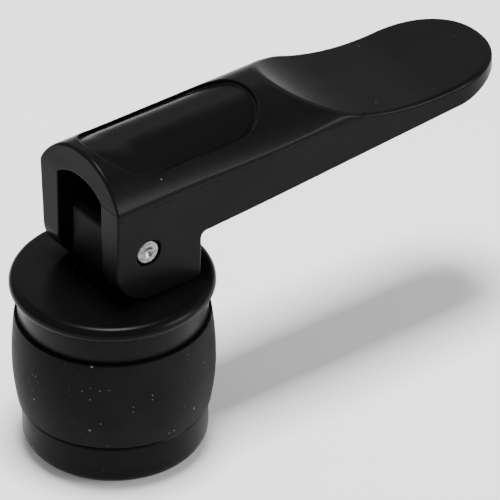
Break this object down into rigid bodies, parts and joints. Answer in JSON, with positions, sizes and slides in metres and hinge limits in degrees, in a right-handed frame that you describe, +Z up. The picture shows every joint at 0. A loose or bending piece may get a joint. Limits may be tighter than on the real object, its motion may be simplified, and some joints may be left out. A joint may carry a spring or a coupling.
{
  "type": "cam-lever expansion plug",
  "caption": "Round expanding plug: a lever with two cam ears on a cross pin presses a flanged cap down on a rubber sleeve, which bulges to grip inside a tube.",
  "frame": {"origin": "centre of the base's flat underside, on the plug's axis", "axes": "+Z up the plug's axis to the lever's back, +X along the closed lever to its thumb paddle, +Y to the lever's left"},
  "size_m": [0.1086, 0.04, 0.0695],
  "materials": {
    "lever_plastic": "satin black moulding",
    "cap_plastic": "satin black moulding",
    "base_plastic": "satin black moulding",
    "cover_plastic": "fine matt black moulding",
    "sleeve_rubber": "matt black rubber with a little dust",
    "seal_rubber": "smooth black rubber",
    "nylon": "smooth black nylon",
    "stem_black": "black oxide coated steel",
    "pin_steel": "bright turned end with a centre dimple",
    "plated_steel": "zinc plated",
    "spring_steel": "drawn wire",
    "bush_bronze": "sintered bronze"
  },
  "bodies": {
    "base": {"base_cup": "base_plastic", "base_cover": "cover_plastic", "captive_nut": "plated_steel", "pressure_washer": "plated_steel", "return_spring": "spring_steel", "rubber_sleeve": "sleeve_rubber"},
    "cap": {"clamp_cap": "cap_plastic", "cap_bush": "nylon", "shank_o_ring": "seal_rubber", "spring_washer": "plated_steel"},
    "stem": {"stem_eye": "stem_black", "pin_bush": "bush_bronze", "side_washer_left": "nylon", "side_washer_right": "nylon", "pivot_pin": "pin_steel", "tension_stud": "plated_steel", "stud_cross_pin": "plated_steel", "stud_end_ring": "spring_steel"},
    "lever": {"cam_lever": "lever_plastic"}
  },
  "joints": [
    {"name": "handle_swivel", "type": "hinge", "parent": "base", "child": "stem", "pos_m": [0, 0, 0.0384], "axis": [0, 0, 1], "continuous": true},
    {"name": "lever_pivot", "type": "hinge", "parent": "stem", "child": "lever", "pos_m": [0, 0, 0.0495], "axis": [0, -1, 0], "range_deg": [0, 90]},
    {"name": "cap_travel", "type": "slide", "parent": "base", "child": "cap", "axis": [0, 0, 1], "range_m": [0, 0.0035], "deforming": ["rubber_sleeve", "return_spring"]}
  ],
  "couplings": [
    {"joint": "cap_travel", "follows": "lever_pivot", "m_per_rad": 0.002228}
  ]
}
